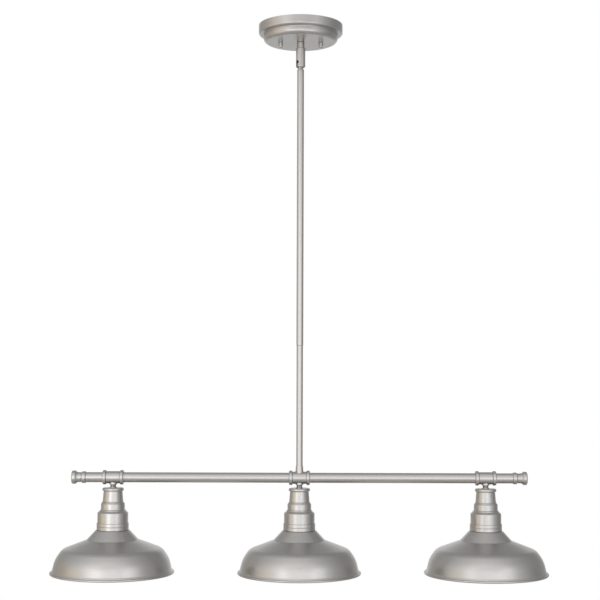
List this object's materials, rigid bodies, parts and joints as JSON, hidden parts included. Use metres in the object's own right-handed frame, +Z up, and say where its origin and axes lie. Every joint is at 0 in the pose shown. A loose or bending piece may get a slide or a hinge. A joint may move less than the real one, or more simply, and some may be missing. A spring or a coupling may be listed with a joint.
{
  "type": "linear island pendant",
  "caption": "Linear ceiling pendant: stepped canopy, slotted ball swivel, tube stem and a pipe-like bar that carries domed metal shades on stepped cups.",
  "frame": {"origin": "On the ceiling plane, in the middle of the crossbar's two outlet-box slots and of the canopy", "axes": "+Z up into the ceiling, +X along the bar towards the right lamp, -Y the front as pictured"},
  "size_m": [0.8454, 0.2104, 0.945],
  "materials": {
    "silver_paint": "satin metallic, silver grey",
    "plated_steel": "zinc plated, dull",
    "green_plating": "green dyed zinc",
    "porcelain": "glazed",
    "brass": "pressed sheet",
    "ring_metal": "satin"
  },
  "bodies": {
    "ceiling_mount": {"canopy": "silver_paint", "crossbar": "plated_steel", "ground_screw": "green_plating", "canopy_studs": "plated_steel", "stud_nuts": "plated_steel", "canopy_knobs": "silver_paint", "canopy_nipple": "plated_steel", "canopy_washer": "plated_steel", "canopy_lock_nut": "plated_steel", "swivel_collar": "silver_paint", "swivel_sleeve": "silver_paint"},
    "ball_stud": {"swivel_ball_stud": "silver_paint"},
    "fixture": {"stem_collar": "silver_paint", "upper_stem": "silver_paint", "lower_stem": "silver_paint", "bar_right": "silver_paint", "bar_left": "silver_paint", "end_tube_right": "silver_paint", "end_tube_left": "silver_paint", "finial_right": "silver_paint", "finial_left": "silver_paint", "stem_coupler": "plated_steel", "tee_left": "silver_paint", "drop_nipple_left": "silver_paint", "drop_lock_nut_left": "plated_steel", "socket_cup_left": "silver_paint", "lampholder_left": "porcelain", "screw_shell_left": "brass", "centre_contact_left": "brass", "shade_left": "silver_paint", "shade_ring_left": "ring_metal", "tee_centre": "silver_paint", "drop_nipple_centre": "silver_paint", "drop_lock_nut_centre": "plated_steel", "socket_cup_centre": "silver_paint", "lampholder_centre": "porcelain", "screw_shell_centre": "brass", "centre_contact_centre": "brass", "shade_centre": "silver_paint", "shade_ring_centre": "ring_metal", "tee_right": "silver_paint", "drop_nipple_right": "silver_paint", "drop_lock_nut_right": "plated_steel", "socket_cup_right": "silver_paint", "lampholder_right": "porcelain", "screw_shell_right": "brass", "centre_contact_right": "brass", "shade_right": "silver_paint", "shade_ring_right": "ring_metal"}
  },
  "joints": [
    {"name": "swivel_tilt", "type": "hinge", "parent": "ceiling_mount", "child": "ball_stud", "pos_m": [0, 0, -0.06847], "axis": [-0.5299, 0.848, 0], "range_deg": [-3, 85]},
    {"name": "stem_turn", "type": "hinge", "parent": "ball_stud", "child": "fixture", "pos_m": [0, 0, -0.06847], "axis": [0, 0, 1], "range_deg": [-170, 170]}
  ]
}
